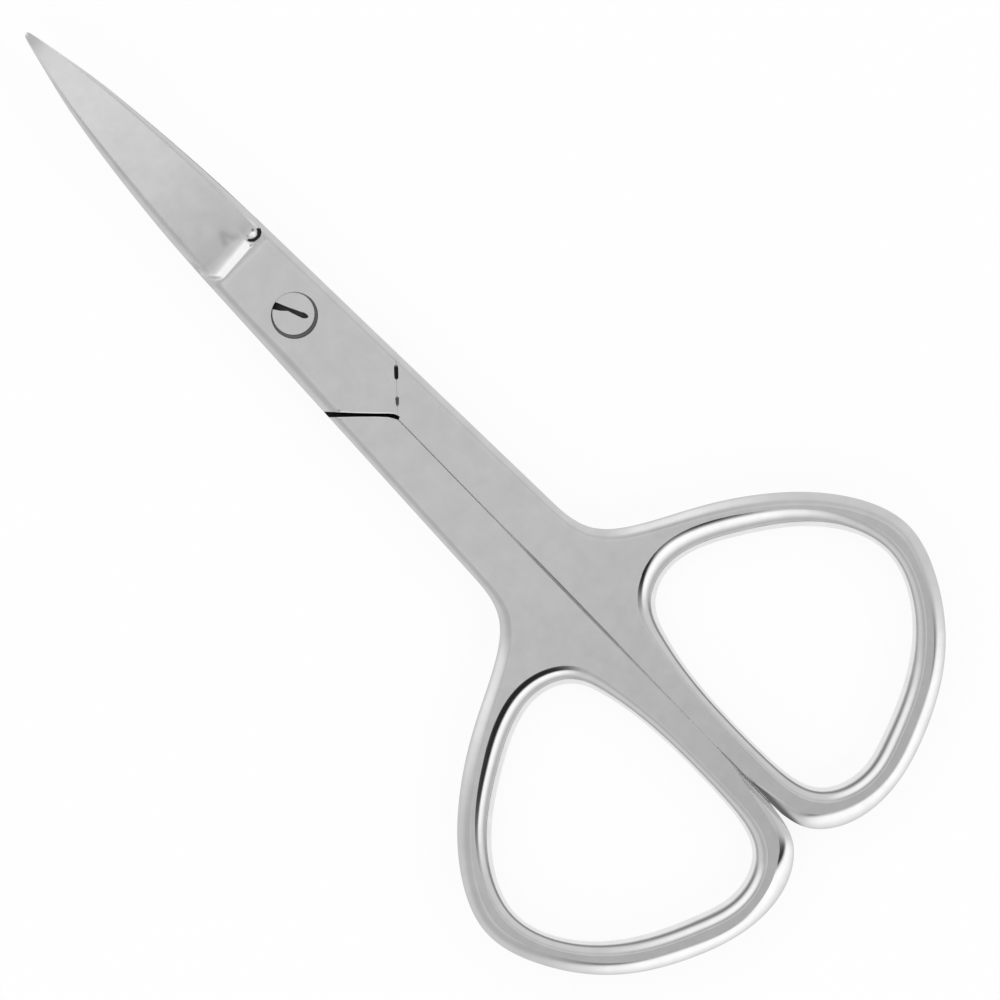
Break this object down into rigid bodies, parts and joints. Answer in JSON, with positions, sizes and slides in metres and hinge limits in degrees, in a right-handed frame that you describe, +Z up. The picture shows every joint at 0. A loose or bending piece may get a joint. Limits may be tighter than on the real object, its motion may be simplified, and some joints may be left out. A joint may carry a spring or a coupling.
{
  "type": "cuticle scissors",
  "caption": "Small all-metal cuticle scissors with slim curved blades, a slotted pivot screw and egg-shaped finger rings.",
  "frame": {"origin": "on the pivot axis, in the flat underside that the closed scissors rest on", "axes": "+Y from the pivot to the blade tips, along the closing line; +X to the right seen from above, +Z up through the screw head"},
  "size_m": [0.046, 0.0898, 0.006],
  "materials": {
    "satin_steel": "satin stainless steel with polished rounded edges",
    "screw_steel": "satin stainless steel"
  },
  "bodies": {
    "lower": {"lower_half": "satin_steel"},
    "upper": {"upper_half": "satin_steel"},
    "screw": {"pivot_screw": "screw_steel"}
  },
  "joints": [
    {"name": "blade_pivot", "type": "hinge", "parent": "lower", "child": "upper", "pos_m": [0, 0, 0.0016], "axis": [0, 0, 1], "range_deg": [0, 120]},
    {"name": "screw_turn", "type": "hinge", "parent": "lower", "child": "screw", "pos_m": [0, 0, 0.0016], "axis": [0, 0, 1], "range_deg": [-30, 30]}
  ]
}
